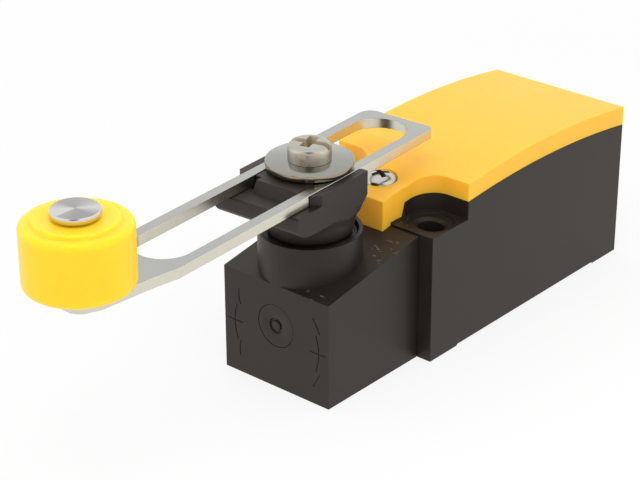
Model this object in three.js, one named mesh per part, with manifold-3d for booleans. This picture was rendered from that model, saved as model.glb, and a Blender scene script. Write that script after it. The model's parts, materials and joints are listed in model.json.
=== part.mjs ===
// Limit switch with an adjustable roller lever, lying on its mounting back.
// Millimetres, +Z up out of the mounting back, +X towards the cable entry.
// The origin is on the mounting back, midway between the two mounting slots.

import * as THREE from 'three';
import { mergeVertices } from 'three/addons/utils/BufferGeometryUtils.js';
import Module from 'manifold-3d';

const wasm = await Module();
wasm.setup();

// ---------------------------------------------------------------- driving dimensions

const BODY_WIDTH = 31;            // across the housing, Y
const BODY_START = -5.2;          // where the head meets the housing, X
const BODY_END = 55.8;            // cable end face, X
const JOINT_APEX = 25.9;          // the cover joint is an arc seen from the side
const JOINT_CROWN = 29.97;        // its height at the apex
const JOINT_RADIUS = 202;
const TOP_APEX = 27;              // the top of the cover is a slightly tighter arc
const TOP_CROWN = 33.82;
const TOP_RADIUS = 182;
const TOP_DIP = 0.45;             // the top dips a little beside the cover screw
const TOP_DIP_SPREAD = 2.6;
const TOP_STATIONS = [50, 44, 38, 32, 26, 20, 14, 9, 6, 4.5, 3, 1.5, 0, -1.5, -3, -4.5, -6];

const SLOT_SPACING = 22;          // between the two mounting slots, Y
const SLOT_WIDTH = 4.3;           // for an M4 screw
const SLOT_LENGTH = 5.3;          // lets the spacing vary from 21 to 23
const NOTCH_FLOOR = 25.3;         // seat of the mounting screw heads
const NOTCH_RADIUS = 5.2;         // round inner corner of the notch, about the slot
const TONGUE_HALF = SLOT_SPACING / 2 - NOTCH_RADIUS;
const TONGUE_END = -7.6;          // the cover's tongue overlaps the head up to here
const TONGUE_SEAT = 25.55;        // housing under the tongue
const TONGUE_STEP = -2;           // the housing rises here from the seat to the joint
const TONGUE_STEP_TOP = -1.2;
const BACK_RELIEF = 0.3;          // the back is relieved behind the mounting pads
const BACK_PAD_END = 2.8;         // front pad, from the housing's head end
const BACK_PAD_LENGTH = 8;        // rear pad, up to the cable end

const HEAD_WIDTH = 24.7;
const HEAD_END = -30.3;
const HEAD_LOW = 20.7;            // head height at its end face
const HEAD_HIGH = 24.9;           // head height where it meets the housing
const SEAM = 0.15;                // visible seam between head and housing

const SHAFT_X = -20.9;            // lever shaft axis
const BOSS_RADIUS = SHAFT_X - HEAD_END;
const BOSS_TOP = 28.7;
const BOSS_BORE = 8.75;
const AXIS_Z = 12.5;              // height of the plunger axis

const LEVER_TURN = 3.3;           // rest angle of the lever off the body's axis, degrees
const LEVER_BOTTOM = 38.5;
const LEVER_THICKNESS = 2;
const LEVER_HALF = 7.5;           // half the width of the slotted part
const LEVER_TAPER_START = 43.5;   // the arm narrows from here to the roller
const LEVER_END_RADIUS = 5.1;     // round end, centred a little short of the roller axis
const LEVER_END_CENTRE = 57.1;
const LEVER_SLOT_HALF = 5.4;
const LEVER_SLOT_ROLLER_END = 43.7;
const LEVER_SLOT_TAIL_END = -25.6;
const LEVER_TAIL = -27.3;
const ROLLER_REACH = 58.1;        // shaft axis to roller axis
const ROLLER_RADIUS = 9.1;
const ROLLER_EDGE = 1.1;          // rounding of the roller's edges
const ROLLER_BOTTOM = 41;
const ROLLER_RIM = 52.3;
const ROLLER_HUB = 0.6;           // the hub stands this far out of the rim
const PIN_HEAD = 1.4;             // thickness of the roller pin's head

const FLOOR = 2.3;                // floor of the housing
const WALL = 2.3;
const CHAMBER_START = 7.6;
const CHAMBER_END = 46.6;
const ENTRY_RADIUS = 9.25;        // core of the M20 x 1.5 cable entry
const ENTRY_Z = 14.3;

const ROUND = 48;                 // sides of a large circle
const SMALL = 24;                 // sides of a small circle
const TINY = 14;                  // sides of a hidden screw or pin
const GAP = 0.1;                  // assembly gap between fitted pieces

// ---------------------------------------------------------------- materials

const paint = (color, roughness, metalness) =>
  new THREE.MeshStandardMaterial({ color, roughness, metalness });

const BLACK = () => paint(0x403b39, 0.55, 0);
const YELLOW = () => paint(0xffc94f, 0.5, 0);
const ROLLER_YELLOW = () => paint(0xffd73c, 0.45, 0);
const STEEL = () => paint(0xc4c6c3, 0.25, 1);
const NICKEL = () => paint(0xb4b2aa, 0.22, 1);
const BRASS = () => paint(0xc9a45a, 0.3, 1);
const SILVER = () => paint(0xd9d9d6, 0.25, 1);
const RUBBER = () => paint(0x161515, 0.7, 0);
const CREAM = () => paint(0xd8d2c2, 0.6, 0);

// ---------------------------------------------------------------- shape helpers

const X = new THREE.Vector3(1, 0, 0);
const Y = new THREE.Vector3(0, 1, 0);
const Z = new THREE.Vector3(0, 0, 1);

// A closed geometry as a solid that can be joined and cut.
function solid(geometry) {
  const bare = geometry.index ? geometry.toNonIndexed() : geometry.clone();
  bare.deleteAttribute('normal');
  bare.deleteAttribute('uv');
  const merged = mergeVertices(bare, 1e-4);
  const mesh = new wasm.Mesh({
    numProp: 3,
    vertProperties: Float32Array.from(merged.attributes.position.array),
    triVerts: Uint32Array.from(merged.index.array),
  });
  return new wasm.Manifold(mesh);
}

// A solid back as a geometry.
function geometryOf(manifold) {
  const mesh = manifold.getMesh();
  const geometry = new THREE.BufferGeometry();
  geometry.setAttribute('position', new THREE.BufferAttribute(mesh.vertProperties, 3));
  geometry.setIndex(new THREE.BufferAttribute(mesh.triVerts, 1));
  geometry.computeVertexNormals();
  return geometry;
}

function join(first, ...rest) {
  return rest.reduce((sum, piece) => sum.add(piece), first);
}

function cut(first, ...rest) {
  return rest.reduce((left, piece) => left.subtract(piece), first);
}

function shapeOf(points) {
  return new THREE.Shape(points.map(([a, b]) => new THREE.Vector2(a, b)));
}

function extruded(shape, length, basis, offset, curveSegments) {
  const options = { depth: length, bevelEnabled: false, curveSegments };
  const geometry = new THREE.ExtrudeGeometry(shape, options);
  geometry.applyMatrix4(basis.setPosition(offset));
  return solid(geometry);
}

// A section drawn in (X, Z), run along Y.
function alongY(shape, y0, y1, curveSegments = 12) {
  const basis = new THREE.Matrix4().makeBasis(X, Z, Y.clone().negate());
  return extruded(shape, y1 - y0, basis, new THREE.Vector3(0, y1, 0), curveSegments);
}

// A section drawn in (X, Y), run along Z.
function alongZ(shape, z0, z1, curveSegments = 12) {
  const basis = new THREE.Matrix4().makeBasis(X, Y, Z);
  return extruded(shape, z1 - z0, basis, new THREE.Vector3(0, 0, z0), curveSegments);
}

function box(x0, x1, y0, y1, z0, z1) {
  const geometry = new THREE.BoxGeometry(x1 - x0, y1 - y0, z1 - z0);
  geometry.translate((x0 + x1) / 2, (y0 + y1) / 2, (z0 + z1) / 2);
  return solid(geometry);
}

// A body of revolution about Z through (x, y), from a profile of [radius, height].
function turned(profile, x = 0, y = 0, sides = ROUND) {
  const points = profile.map(([r, z]) => new THREE.Vector2(r, z));
  const geometry = new THREE.LatheGeometry(points, sides);
  geometry.rotateX(Math.PI / 2);
  geometry.translate(x, y, 0);
  const body = solid(geometry);
  return body.volume() < 0 ? solid(flipped(geometry)) : body;
}

function flipped(geometry) {
  const copy = geometry.toNonIndexed();
  const p = copy.attributes.position.array;
  for (let i = 0; i < p.length; i += 9) {
    for (let k = 0; k < 3; k += 1) {
      [p[i + 3 + k], p[i + 6 + k]] = [p[i + 6 + k], p[i + 3 + k]];
    }
  }
  return copy;
}

function post(radius, z0, z1, x = 0, y = 0, sides = ROUND) {
  const geometry = new THREE.CylinderGeometry(radius, radius, z1 - z0, sides);
  geometry.rotateX(Math.PI / 2);
  geometry.translate(x, y, (z0 + z1) / 2);
  return solid(geometry);
}

// A round bar along X at height z.
function bar(radius, x0, x1, y = 0, z = AXIS_Z, sides = ROUND) {
  const geometry = new THREE.CylinderGeometry(radius, radius, x1 - x0, sides);
  geometry.rotateZ(Math.PI / 2);
  geometry.translate((x0 + x1) / 2, y, z);
  return solid(geometry);
}

function ring(outer, inner, z0, z1, x = 0, y = 0, sides = ROUND) {
  return cut(post(outer, z0, z1, x, y, sides), post(inner, z0 - 1, z1 + 1, x, y, sides));
}

// A coil spring along X, a round wire swept along a helix with closed ends.
function coil(meanRadius, wireRadius, turns, x0, x1, z = AXIS_Z) {
  class Helix extends THREE.Curve {
    getPoint(t, target = new THREE.Vector3()) {
      const angle = t * turns * 2 * Math.PI;
      const x = x0 + wireRadius + t * (x1 - x0 - 2 * wireRadius);
      return target.set(x, meanRadius * Math.cos(angle), z + meanRadius * Math.sin(angle));
    }
  }
  const section = new THREE.Shape();
  section.absarc(0, 0, wireRadius, 0, 2 * Math.PI, false);
  const options = { steps: Math.round(turns * 10), extrudePath: new Helix(), curveSegments: 3 };
  return solid(new THREE.ExtrudeGeometry(section, options));
}

const switchGroup = new THREE.Group();
const leverGroup = new THREE.Group();
leverGroup.position.set(SHAFT_X, 0, 0);
leverGroup.rotation.z = THREE.MathUtils.degToRad(LEVER_TURN);
switchGroup.add(leverGroup);

function place(name, manifold, material, group = switchGroup) {
  const mesh = new THREE.Mesh(geometryOf(manifold), material);
  mesh.name = name;
  group.add(mesh);
}

// ---------------------------------------------------------------- shared outlines

const archHeight = (x, apex, crown, radius) =>
  crown - radius + Math.sqrt(radius ** 2 - (x - apex) ** 2);
const jointHeight = (x) => archHeight(x, JOINT_APEX, JOINT_CROWN, JOINT_RADIUS);
const topHeight = (x) =>
  archHeight(x, TOP_APEX, TOP_CROWN, TOP_RADIUS) - TOP_DIP * Math.exp(-((x / TOP_DIP_SPREAD) ** 2));
const headTop = (x) => {
  const share = (x - HEAD_END) / (BODY_START - HEAD_END);
  return HEAD_LOW + share * (HEAD_HIGH - HEAD_LOW);
};

// Points along an arched line between two places.
function archPoints(height, xFrom, xTo, lift = 0, count = 12) {
  const points = [];
  for (let i = 0; i <= count; i += 1) {
    const x = xFrom + ((xTo - xFrom) * i) / count;
    points.push([x, height(x) + lift]);
  }
  return points;
}

// The cover's top line, from the cable end towards the head.
function topLine(xFrom, xTo) {
  const between = TOP_STATIONS.filter((x) => x < xFrom && x > xTo);
  return [xFrom, ...between, xTo].map((x) => [x, topHeight(x)]);
}

// The corner that a mounting notch takes out of the body, seen from above.
function notchShape(side, clearance = 0) {
  const shape = new THREE.Shape();
  const slotY = (side * SLOT_SPACING) / 2;
  const radius = NOTCH_RADIUS + clearance;
  const outside = side * (BODY_WIDTH / 2 + 2);
  shape.moveTo(BODY_START - 6, outside);
  shape.lineTo(radius, outside);
  shape.lineTo(radius, slotY);
  shape.absarc(0, slotY, radius, 0, (-side * Math.PI) / 2, side > 0);
  shape.lineTo(BODY_START - 6, slotY - side * radius);
  shape.closePath();
  return shape;
}

function notches(z0, z1, clearance = 0) {
  return join(
    alongZ(notchShape(1, clearance), z0, z1, 10),
    alongZ(notchShape(-1, clearance), z0, z1, 10),
  );
}

// ---------------------------------------------------------------- housing and cover

function mountingSlot(side) {
  const half = (SLOT_LENGTH - SLOT_WIDTH) / 2;
  const centre = (side * SLOT_SPACING) / 2;
  const shape = new THREE.Shape();
  shape.absarc(0, centre + half, SLOT_WIDTH / 2, 0, Math.PI, false);
  shape.absarc(0, centre - half, SLOT_WIDTH / 2, Math.PI, 2 * Math.PI, false);
  return alongZ(shape, -1, NOTCH_FLOOR + 1, 8);
}

function housing() {
  const side = shapeOf([
    [BODY_START, 0],
    [BACK_PAD_END, 0],
    [BACK_PAD_END + BACK_RELIEF, BACK_RELIEF],
    [BODY_END - BACK_PAD_LENGTH - BACK_RELIEF, BACK_RELIEF],
    [BODY_END - BACK_PAD_LENGTH, 0],
    [BODY_END, 0],
    ...archPoints(jointHeight, BODY_END, BODY_START),
  ]);
  const block = alongY(side, -BODY_WIDTH / 2, BODY_WIDTH / 2);
  const seat = shapeOf([
    [BODY_START - 1, TONGUE_SEAT],
    [TONGUE_STEP, TONGUE_SEAT],
    [TONGUE_STEP_TOP, jointHeight(TONGUE_STEP_TOP)],
    [TONGUE_STEP_TOP, 40],
    [BODY_START - 1, 40],
  ]);
  const half = BODY_WIDTH / 2 - WALL;
  return cut(
    block,
    notches(NOTCH_FLOOR, 40),
    alongY(seat, -BODY_WIDTH, BODY_WIDTH),
    box(CHAMBER_START, CHAMBER_END, -half, half, FLOOR, 40),
    gasketBand(0.1),
    mountingSlot(1),
    mountingSlot(-1),
    bar(7.45, BODY_START - 1, -1.2),
    bar(3.6, -3, CHAMBER_START + 1, 0, AXIS_Z, SMALL),
    post(2.65, 20.5, 40, COVER_SCREW_X, 0, SMALL),
    bar(ENTRY_RADIUS, CHAMBER_END - 1, BODY_END + 1, 0, ENTRY_Z),
  );
}

const COVER_SCREW_X = -1.2;
const COVER_SCREW_SEAT = 29.9;
const COVER_SCREW_RADIUS = 3.05;
const COVER_SCREW_EDGE = 1.1;     // height of the head's upright edge
const COVER_SCREW_RISE = 2.7;     // from its seat to the top of its domed head
const COVER_SCREW_LENGTH = 8.8;   // below its seat
const COVER_SCREW_SHANK = 1.5;
const COVER_SCREW_POINT = 0.6;    // height of the chamfer at the shank's end
const RECESS_REACH = 1.7;         // half length of each arm of the cross recess
const RECESS_HALF = 0.45;
const RECESS_FLOOR = 1.3;         // above the screw's seat
const GASKET_INSET = 1.0;
const GASKET_WIDTH = 0.9;

// The gasket's path: a frame round the chamber mouth that follows the arched joint.
function gasketBand(clearance) {
  const outer = BODY_WIDTH / 2 - GASKET_INSET + clearance;
  const inner = outer - GASKET_WIDTH - 2 * clearance;
  const start = CHAMBER_START - WALL + GASKET_INSET - clearance;
  const end = CHAMBER_END + WALL + clearance;
  const bottom = -0.9 - clearance;
  const band = shapeOf([
    ...archPoints(jointHeight, start, end, bottom),
    ...archPoints(jointHeight, end, start, -0.05 + clearance * 2),
  ]);
  const frame = alongY(band, -outer, outer);
  const mouth = box(
    start + GASKET_WIDTH + 2 * clearance,
    end - GASKET_WIDTH - 2 * clearance,
    -inner,
    inner,
    0,
    60,
  );
  return cut(frame, mouth);
}

function cover() {
  const seam = 0.06;
  const band = shapeOf([
    ...archPoints(jointHeight, TONGUE_STEP_TOP, BODY_END, seam),
    ...topLine(BODY_END, TONGUE_STEP_TOP),
  ]);
  const tongue = shapeOf([
    [TONGUE_END, headTop(TONGUE_END) + GAP],
    [BODY_START - SEAM, headTop(BODY_START) + GAP],
    [BODY_START - SEAM, TONGUE_SEAT + seam],
    [TONGUE_STEP - GAP, TONGUE_SEAT + seam],
    [TONGUE_STEP_TOP - GAP, jointHeight(TONGUE_STEP_TOP) + seam],
    [TONGUE_STEP_TOP + 1, jointHeight(TONGUE_STEP_TOP + 1) + seam],
    ...topLine(TONGUE_STEP_TOP + 1, TONGUE_END),
  ]);
  const pocket = shapeOf([
    ...archPoints(jointHeight, CHAMBER_START + 1, CHAMBER_END - 1, -1),
    ...archPoints(jointHeight, CHAMBER_END - 1, CHAMBER_START + 1, 1.6),
  ]);
  const half = BODY_WIDTH / 2;
  return cut(
    join(alongY(band, -half, half), alongY(tongue, -TONGUE_HALF, TONGUE_HALF)),
    notches(20, 40),
    alongY(pocket, -half + WALL + 1, half - WALL - 1),
    post(1.8, 20, 40, COVER_SCREW_X, 0, SMALL),
    post(COVER_SCREW_RADIUS + 0.15, COVER_SCREW_SEAT - GAP, 40, COVER_SCREW_X, 0, SMALL),
  );
}

// A screw standing on Z with a cheese head and a straight slot.
function cheeseScrew(x, y, seat, head, shank, slotWidth, sides = SMALL) {
  const [headRadius, headHeight] = head;
  const [shankRadius, shankLength] = shank;
  const edge = headHeight * 0.2;
  const profile = [
    [0, seat - shankLength],
    [shankRadius * 0.8, seat - shankLength],
    [shankRadius, seat - shankLength + shankRadius * 0.4],
    [shankRadius, seat],
    [headRadius, seat],
    [headRadius, seat + headHeight - edge],
    [headRadius - edge, seat + headHeight],
    [0, seat + headHeight],
  ];
  const depth = headHeight * 0.45;
  const top = seat + headHeight;
  const slot = box(
    x - slotWidth / 2,
    x + slotWidth / 2,
    y - headRadius - 1,
    y + headRadius + 1,
    top - depth,
    top + 1,
  );
  return cut(turned(profile, x, y, sides), slot);
}

// A domed head with a cross recess.
function coverScrew() {
  const seat = COVER_SCREW_SEAT;
  const radius = COVER_SCREW_RADIUS;
  const edge = COVER_SCREW_EDGE;
  const end = seat - COVER_SCREW_LENGTH;
  const dome = [];
  for (let i = 0; i < 5; i += 1) {
    const angle = (i * Math.PI) / 10;
    const height = (COVER_SCREW_RISE - edge) * Math.sin(angle);
    dome.push([radius * Math.cos(angle), seat + edge + height]);
  }
  const body = turned([
    [0, end],
    [COVER_SCREW_SHANK - COVER_SCREW_POINT / 2, end],
    [COVER_SCREW_SHANK, end + COVER_SCREW_POINT],
    [COVER_SCREW_SHANK, seat],
    [radius, seat],
    ...dome,
    [0, seat + COVER_SCREW_RISE],
  ], COVER_SCREW_X, 0, SMALL);
  const x = COVER_SCREW_X;
  const floor = seat + RECESS_FLOOR;
  const above = seat + COVER_SCREW_RISE + 1;
  return cut(
    body,
    box(x - RECESS_REACH, x + RECESS_REACH, -RECESS_HALF, RECESS_HALF, floor, above),
    box(x - RECESS_HALF, x + RECESS_HALF, -RECESS_REACH, RECESS_REACH, floor, above),
  );
}

place('housing', housing(), BLACK());
place('cover', cover(), YELLOW());
place('cover_gasket', gasketBand(0), RUBBER());
place('cover_screw', coverScrew(), NICKEL());
place('cover_screw_insert', ring(2.55, 1.6, 20.6, 25, COVER_SCREW_X, 0, SMALL), BRASS());

// ---------------------------------------------------------------- head and plunger

const CHAMBER_RADIUS = 8;
const CHAMBER_FLOOR = 4.5;
const CHAMBER_TOP = 21;
const BUSH_RADIUS = 6.4;
const BUSH_TOP = 26.4;
const SHAFT_RADIUS = 4;
const CAM_RADIUS = 6.1;
const CAM_FLAT = 4.8;
const PLUG_RADIUS = 4.15;
const PLUNGER_FACE = SHAFT_X + CAM_RADIUS + 0.3;
const PLUNGER_END = 6.2;
const FLANGE_RADIUS = 5.2;
const SPRING_SEAT = -6.6;

function head() {
  const side = shapeOf([
    [HEAD_END, 0],
    [BODY_START - SEAM, 0],
    [BODY_START - SEAM, headTop(BODY_START - SEAM)],
    [HEAD_END, HEAD_LOW],
  ]);
  const block = join(
    alongY(side, -HEAD_WIDTH / 2, HEAD_WIDTH / 2),
    post(BOSS_RADIUS, 10, BOSS_TOP, SHAFT_X),
    bar(7.2, BODY_START - 1, -1.5),
  );
  return cut(
    block,
    post(CHAMBER_RADIUS, CHAMBER_FLOOR, CHAMBER_TOP, SHAFT_X),
    post(BUSH_RADIUS, CHAMBER_TOP - 1, BOSS_TOP + 1, SHAFT_X),
    post(BOSS_BORE, BUSH_TOP, BOSS_TOP + 1, SHAFT_X),
    post(3.1, 2, CHAMBER_FLOOR + 1, SHAFT_X, 0, SMALL),
    bar(PLUG_RADIUS + GAP, HEAD_END - 1, SHAFT_X - 6.5, 0, AXIS_Z, SMALL),
    bar(FLANGE_RADIUS + 0.3, SHAFT_X + 5, SPRING_SEAT, 0, AXIS_Z, SMALL),
    bar(3.1, SPRING_SEAT - 1, 0, 0, AXIS_Z, SMALL),
  );
}

function headPlug() {
  const back = HEAD_END + 1.4;
  return cut(
    bar(PLUG_RADIUS, HEAD_END + 0.03, back, 0, AXIS_Z, SMALL),
    cut(
      bar(1.9, HEAD_END - 1, HEAD_END + 0.5, 0, AXIS_Z, SMALL),
      bar(1.25, HEAD_END - 2, HEAD_END + 1, 0, AXIS_Z, SMALL),
    ),
  );
}

function camPlate() {
  const disc = post(CAM_RADIUS, 9.3, 15.7, SHAFT_X);
  const flat = box(SHAFT_X + CAM_FLAT, SHAFT_X + 10, -10, 10, 5, 20);
  return cut(disc, flat, post(SHAFT_RADIUS + 0.05, 5, 20, SHAFT_X, 0, SMALL));
}

function shaft() {
  const profile = [
    [0, 2.1],
    [3, 2.1],
    [3, 4.8],
    [SHAFT_RADIUS, 4.8],
    [SHAFT_RADIUS, 34],
    [SHAFT_RADIUS - 0.5, 34.5],
    [2.6, 34.5],
    [2.6, 23],
    [0, 21.5],
  ];
  return turned(profile, SHAFT_X, 0, SMALL);
}

function plunger() {
  return join(
    bar(FLANGE_RADIUS, PLUNGER_FACE, PLUNGER_FACE + 1.3, 0, AXIS_Z, SMALL),
    bar(2.9, PLUNGER_FACE, PLUNGER_END, 0, AXIS_Z, SMALL),
  );
}

place('head', head(), BLACK());
place('head_plug', headPlug(), BLACK());
place('shaft_bush', ring(BUSH_RADIUS - 0.05, SHAFT_RADIUS + 0.06, 21.05, BUSH_TOP - 0.1, SHAFT_X), BRASS());
place('shaft_seal', ring(8.65, 7.45, BUSH_TOP + 0.1, 28.1, SHAFT_X), RUBBER());
place('lever_shaft', shaft(), STEEL());
place('shaft_cam', camPlate(), CREAM());
place('plunger', plunger(), CREAM());
place('plunger_spring', coil(4.3, 0.3, 4, PLUNGER_FACE + 1.4, SPRING_SEAT - GAP), STEEL());
place(
  'neck_seal',
  cut(bar(7.42, -1.45, -1.22), bar(3.2, -3, 0)),
  RUBBER(),
);

// ---------------------------------------------------------------- contact block

const BLOCK_START = 9;
const BLOCK_END = 32;
const BLOCK_HALF = 12.6;
const BLOCK_TOP = 20;
const CHANNEL_HALF = 5.5;
const CHANNEL_FLOOR = 7;
const NC_STRIP = 14;              // fixed contacts that the resting bridge touches
const NO_STRIP = 25.2;            // fixed contacts that the pressed bridge touches
const STRIP = 0.6;
const NC_BRIDGE = NC_STRIP + STRIP + 0.05;
const NO_BRIDGE = 21;
const BRIDGE = 0.5;
const TERMINAL_Y = 9.3;
const TERMINAL_HALF = 2.8;
const TERMINAL_SEAT = 14;

const terminals = [
  { name: 'terminal_nc_left', x: NC_STRIP, side: 1 },
  { name: 'terminal_nc_right', x: NC_STRIP, side: -1 },
  { name: 'terminal_no_left', x: NO_STRIP, side: 1 },
  { name: 'terminal_no_right', x: NO_STRIP, side: -1 },
];

// Each strip stands behind its contact point and lies flat under its screw.
const terminalSpan = ({ x }) => (x === NC_STRIP ? [x - 3, x + 3.4] : [x - 2.8, x + 3.6]);

function terminalPocket(terminal) {
  const { x, side } = terminal;
  const [start, end] = terminalSpan(terminal);
  const near = side * (TERMINAL_Y - TERMINAL_HALF - GAP);
  const far = side * (TERMINAL_Y + TERMINAL_HALF + GAP);
  const inner = side * (CHANNEL_HALF - 1);
  const sorted = (a, b) => [Math.min(a, b), Math.max(a, b)];
  return join(
    box(start - GAP, end + GAP, ...sorted(near, far), TERMINAL_SEAT - 1 - GAP, BLOCK_TOP + 1),
    box(x - GAP, x + STRIP + GAP, ...sorted(inner, far), 10.4, BLOCK_TOP + 1),
    post(1.8, 8.5, TERMINAL_SEAT, x + 0.2, side * TERMINAL_Y, TINY),
  );
}

function contactBlock() {
  const block = box(BLOCK_START, BLOCK_END, -BLOCK_HALF, BLOCK_HALF, FLOOR + GAP, BLOCK_TOP);
  const channel = box(
    BLOCK_START + 1.5,
    BLOCK_END - 2.4,
    -CHANNEL_HALF,
    CHANNEL_HALF,
    CHANNEL_FLOOR,
    BLOCK_TOP + 1,
  );
  return cut(
    block,
    channel,
    bar(3, BLOCK_START - 1, BLOCK_START + 3, 0, AXIS_Z, SMALL),
    bar(1.6, BLOCK_END - 4, BLOCK_END + 1, 0, AXIS_Z, SMALL),
    ...terminals.map(terminalPocket),
  );
}

function terminalStrip(terminal) {
  const { x, side } = terminal;
  const [start, end] = terminalSpan(terminal);
  const sorted = (a, b) => [Math.min(side * a, side * b), Math.max(side * a, side * b)];
  const flat = box(
    start,
    end,
    ...sorted(TERMINAL_Y - TERMINAL_HALF, TERMINAL_Y + TERMINAL_HALF),
    TERMINAL_SEAT - 1,
    TERMINAL_SEAT - 0.2,
  );
  const blade = box(x, x + STRIP, ...sorted(3.4, TERMINAL_Y - 1.5), 10.6, TERMINAL_SEAT - 0.2);
  const hole = post(1.6, 5, 20, x + 0.2, side * TERMINAL_Y, TINY);
  return cut(join(flat, blade), hole);
}

function clampPlate({ x, side }) {
  const y = side * TERMINAL_Y;
  const plate = box(x - 2.2, x + 2.6, y - 2.4, y + 2.4, TERMINAL_SEAT - 0.1, TERMINAL_SEAT + 0.8);
  return cut(plate, post(1.6, 5, 20, x + 0.2, y, TINY));
}

function terminalScrew({ x, side }) {
  const seat = TERMINAL_SEAT + 0.9;
  return cheeseScrew(x + 0.2, side * TERMINAL_Y, seat, [2.4, 1.8], [1.4, 5.6], 0.8, TINY);
}

function contactCarrier() {
  const start = PLUNGER_END + 0.1;
  const window = [NC_BRIDGE - 0.1, NO_BRIDGE + BRIDGE + 0.1];
  const solidBar = join(
    bar(2.8, start, BLOCK_START + 3, 0, AXIS_Z, SMALL),
    box(BLOCK_START + 2.6, 23.4, -2.4, 2.4, AXIS_Z - 2.4, AXIS_Z + 2.4),
    bar(1.3, 23, 30.5, 0, AXIS_Z, SMALL),
  );
  return cut(solidBar, box(...window, -3, 3, AXIS_Z - 1.75, AXIS_Z + 1.75));
}

function bridge(x) {
  const plate = box(x, x + BRIDGE, -5.2, 5.2, AXIS_Z - 1.4, AXIS_Z + 1.4);
  const face = x < 18 ? x - 0.02 : x + BRIDGE - 0.3;
  const rivets = [-4.3, 4.3].map((y) => bar(0.8, face, face + 0.32, y, AXIS_Z, 12));
  return x < 18 ? plate : join(plate, ...rivets);
}

place('contact_block', contactBlock(), CREAM());
place('contact_carrier', contactCarrier(), RUBBER());
place('contact_bridge_nc', bridge(NC_BRIDGE), SILVER());
place('contact_bridge_no', bridge(NO_BRIDGE), SILVER());
place('contact_spring', coil(1.1, 0.22, 5, NC_BRIDGE + BRIDGE + 0.05, NO_BRIDGE - 0.05), STEEL());
place('carrier_spring', coil(2, 0.25, 4, 23.5, BLOCK_END - 2.5), STEEL());
for (const terminal of terminals) {
  place(terminal.name, terminalStrip(terminal), BRASS());
  place(`${terminal.name}_clamp`, clampPlate(terminal), STEEL());
  place(`${terminal.name}_screw`, terminalScrew(terminal), NICKEL());
}

// ---------------------------------------------------------------- lever, in its own turned group
// Here the shaft axis is the origin and the roller lies towards -X.

const HOLDER_HALF = 9.1;
const HOLDER_TAIL = 4.8;          // end of the side walls behind the shaft
const WALL_FRONT = -9.9;          // roller end of the side walls, on their inside
const WALL_CHAMFER = -8.2;        // and on their outside
const HOLDER_NOSE = -15;
const NOSE_BOTTOM = 34;
const PLATE_BOTTOM = 36;
const SHELF = LEVER_BOTTOM - GAP;
const LEVER_TOP = LEVER_BOTTOM + LEVER_THICKNESS;
const WALL_TOP = LEVER_TOP - 0.1;
const WALL_INSIDE = LEVER_HALF + 0.15;
const GUIDE_HALF = LEVER_SLOT_HALF - 0.2;
const GUIDE_FRONT = -11.1;        // foot of the sloping roller end
const GUIDE_SLOPE = 1.2;          // the slope's run
const GUIDE_NOTCH = -8.5;         // a corner is missing from here to the roller end
const GUIDE_NOTCH_SIDE = 3.9;
const GUIDE_TAIL = 3.5;
const GUIDE_CORNER = 1.4;
const SKIRT_BOTTOM = 26.6;

// The neck of the holder: a cone cut square by the flanks and the back of the plate.
function holderNeck() {
  const cone = turned([
    [0, SKIRT_BOTTOM],
    [7.25, SKIRT_BOTTOM],
    [7.25, 28.3],
    [7.8, 29],
    [8.3, 31.5],
    [9.1, 33.1],
    [10.3, PLATE_BOTTOM],
    [0, PLATE_BOTTOM],
  ]);
  return cone.intersect(
    box(-HOLDER_HALF - 2, HOLDER_TAIL, -HOLDER_HALF, HOLDER_HALF, SKIRT_BOTTOM - 1, SHELF),
  );
}

// The nose under the lever, rounded at its lower front, and the plate behind it.
function holderPlate() {
  const nose = shapeOf([
    [1, NOSE_BOTTOM],
    [HOLDER_NOSE + 5, NOSE_BOTTOM],
    [HOLDER_NOSE + 3.4, NOSE_BOTTOM + 0.07],
    [HOLDER_NOSE + 1.9, NOSE_BOTTOM + 0.35],
    [HOLDER_NOSE + 0.5, NOSE_BOTTOM + 1.2],
    [HOLDER_NOSE, NOSE_BOTTOM + 1.8],
    [HOLDER_NOSE, SHELF - 0.3],
    [HOLDER_NOSE + 0.3, SHELF],
    [HOLDER_TAIL, SHELF],
    [HOLDER_TAIL, PLATE_BOTTOM - 0.1],
    [1, PLATE_BOTTOM - 0.1],
  ]);
  return alongY(nose, -HOLDER_HALF, HOLDER_HALF);
}

function holderWall(side) {
  const inside = side * WALL_INSIDE;
  const outside = side * HOLDER_HALF;
  const outline = shapeOf([
    [WALL_FRONT, inside],
    [HOLDER_TAIL, inside],
    [HOLDER_TAIL, outside],
    [WALL_CHAMFER, outside],
  ]);
  return alongZ(outline, SHELF - 1, WALL_TOP);
}

// The block that fills the lever's slot and keeps it straight.
function guideBlock() {
  const outline = shapeOf([
    [GUIDE_FRONT, -GUIDE_HALF],
    [GUIDE_TAIL - GUIDE_CORNER, -GUIDE_HALF],
    [GUIDE_TAIL, -GUIDE_HALF + GUIDE_CORNER],
    [GUIDE_TAIL, GUIDE_HALF - GUIDE_CORNER],
    [GUIDE_TAIL - GUIDE_CORNER, GUIDE_HALF],
    [GUIDE_NOTCH, GUIDE_HALF],
    [GUIDE_NOTCH, GUIDE_NOTCH_SIDE],
    [GUIDE_FRONT, GUIDE_NOTCH_SIDE],
  ]);
  const slope = shapeOf([
    [GUIDE_FRONT - 1, SHELF],
    [GUIDE_FRONT, SHELF],
    [GUIDE_FRONT + GUIDE_SLOPE, WALL_TOP],
    [GUIDE_FRONT + GUIDE_SLOPE, WALL_TOP + 1],
    [GUIDE_FRONT - 1, WALL_TOP + 1],
  ]);
  return cut(alongZ(outline, SHELF - 1, WALL_TOP), alongY(slope, -HOLDER_HALF, HOLDER_HALF));
}

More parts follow.
